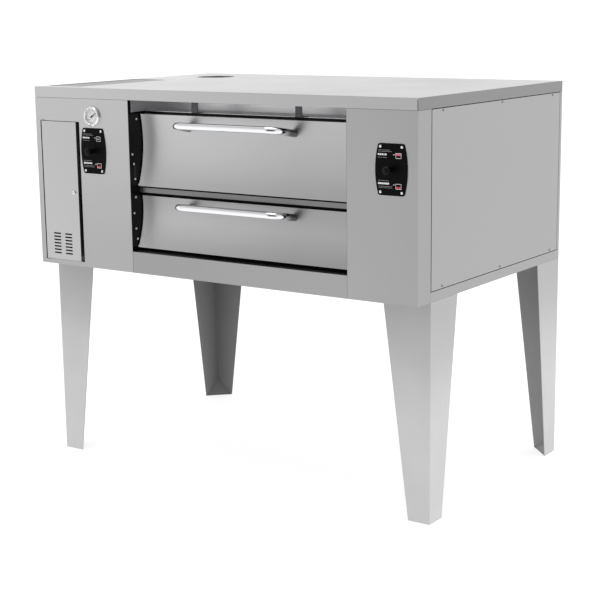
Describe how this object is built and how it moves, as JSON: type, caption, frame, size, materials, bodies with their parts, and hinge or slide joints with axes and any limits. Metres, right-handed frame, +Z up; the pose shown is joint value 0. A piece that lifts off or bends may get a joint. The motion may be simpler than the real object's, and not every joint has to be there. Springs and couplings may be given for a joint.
{
  "type": "gas deck pizza oven",
  "caption": "Free-standing gas deck pizza oven: stainless casing on tapered legs, two fold-down doors over a stone hearth and burners, control compartment and damper knobs.",
  "frame": {"origin": "on the floor, under the middle of the bounding box", "axes": "+X to the right along the front (the long way), +Y from the doors to the back, +Z up"},
  "size_m": [1.6602, 1.11, 1.429],
  "materials": {
    "stainless": "brushed stainless, grain along the sheet",
    "bracket_steel": "plain folded steel",
    "black_enamel": "gloss black enamel",
    "plated_steel": "bright zinc plate",
    "chrome": "polished chrome",
    "aluminised_steel": "dull aluminised sheet",
    "mineral_wool": "matt mineral wool",
    "hearth_stone": "sanded cordierite",
    "cast_iron": "rough casting",
    "gas_steel": "black steel pipe",
    "valve_brass": "machined",
    "damper_steel": "drawn rod",
    "black_plastic": "moulded phenolic",
    "black_plate": "satin black plate",
    "thermostat_case": "grey enamel",
    "dial_white": "white enamel",
    "needle_black": "matt black",
    "clear_glass": "clear",
    "leg_paint": "silver grey enamel"
  },
  "bodies": {
    "oven_body": {"back_panel": "stainless", "bottom_pan": "aluminised_steel", "burner_tubes": "cast_iron", "casing_screws": "plated_steel", "chamber_insulation": "mineral_wool", "chamber_liner": "aluminised_steel", "control_box": "aluminised_steel", "control_plate_screws": "plated_steel", "face_frame": "black_enamel", "flame_baffle": "aluminised_steel", "flue_box": "aluminised_steel", "front_left_leg": "leg_paint", "front_right_leg": "leg_paint", "gas_inlet_pipe": "gas_steel", "gas_manifold": "gas_steel", "gas_valve_body": "valve_brass", "header_braces": "bracket_steel", "header_panel": "stainless", "hearth_bearers": "aluminised_steel", "hearth_stones": "hearth_stone", "heat_return_box": "aluminised_steel", "jamb_screws": "plated_steel", "left_bottom_rail": "stainless", "left_control_plate": "black_plate", "left_fascia": "stainless", "left_jamb": "black_enamel", "left_side_panel": "stainless", "leg_bolts": "plated_steel", "lower_front_rail": "stainless", "mid_rail": "stainless", "rear_left_leg": "leg_paint", "rear_right_leg": "leg_paint", "right_bottom_rail": "stainless", "right_control_plate": "black_plate", "right_fascia": "stainless", "right_jamb": "black_enamel", "right_side_panel": "stainless", "thermometer_case": "chrome", "thermometer_dial": "dial_white", "thermometer_glass": "clear_glass", "thermostat_body": "thermostat_case", "top_cover": "stainless", "top_left_cover": "stainless"},
    "upper_door": {"upper_door_skin": "stainless", "upper_door_liner": "aluminised_steel", "upper_door_insulation": "mineral_wool", "upper_door_handle": "chrome"},
    "lower_door": {"lower_door_skin": "stainless", "lower_door_liner": "aluminised_steel", "lower_door_insulation": "mineral_wool", "lower_door_handle": "chrome"},
    "compartment_door": {"compartment_door": "stainless"},
    "latch": {"compartment_latch": "plated_steel"},
    "left_damper": {"left_damper_knob": "black_plastic", "left_damper_rod": "damper_steel"},
    "right_damper": {"right_damper_knob": "black_plastic", "right_damper_rod": "damper_steel"},
    "thermometer_needle": {"thermometer_pointer": "needle_black"},
    "thermostat_knob": {"thermostat_dial": "black_plastic"},
    "gas_knob": {"gas_valve_knob": "black_plastic"}
  },
  "joints": [
    {"name": "upper_door_hinge", "type": "hinge", "parent": "oven_body", "child": "upper_door", "pos_m": [0.095, -0.465, 1.082], "axis": [1, 0, 0], "range_deg": [0, 90]},
    {"name": "lower_door_hinge", "type": "hinge", "parent": "oven_body", "child": "lower_door", "pos_m": [0.095, -0.477, 0.858], "axis": [1, 0, 0], "range_deg": [0, 90]},
    {"name": "compartment_door_hinge", "type": "hinge", "parent": "oven_body", "child": "compartment_door", "pos_m": [-0.794, -0.511, 1.04175], "axis": [0, 0, -1], "range_deg": [0, 110]},
    {"name": "compartment_latch_turn", "type": "hinge", "parent": "compartment_door", "child": "latch", "pos_m": [-0.645, -0.514, 1.04], "axis": [0, -1, 0], "range_deg": [0, 90]},
    {"name": "left_damper_slide", "type": "slide", "parent": "oven_body", "child": "left_damper", "axis": [0, -1, 0], "range_m": [0, 0.06]},
    {"name": "right_damper_slide", "type": "slide", "parent": "oven_body", "child": "right_damper", "axis": [0, -1, 0], "range_m": [0, 0.06]},
    {"name": "thermometer_needle_turn", "type": "hinge", "parent": "oven_body", "child": "thermometer_needle", "pos_m": [-0.5424, -0.51, 1.3266], "axis": [0, 1, 0], "range_deg": [-195, 75]},
    {"name": "thermostat_dial_turn", "type": "hinge", "parent": "oven_body", "child": "thermostat_knob", "pos_m": [-0.7, -0.34, 1.18], "axis": [0, 1, 0], "range_deg": [0, 280]},
    {"name": "gas_valve_turn", "type": "hinge", "parent": "oven_body", "child": "gas_knob", "pos_m": [-0.7, -0.415, 0.905], "axis": [0, -1, 0], "range_deg": [0, 90]}
  ]
}
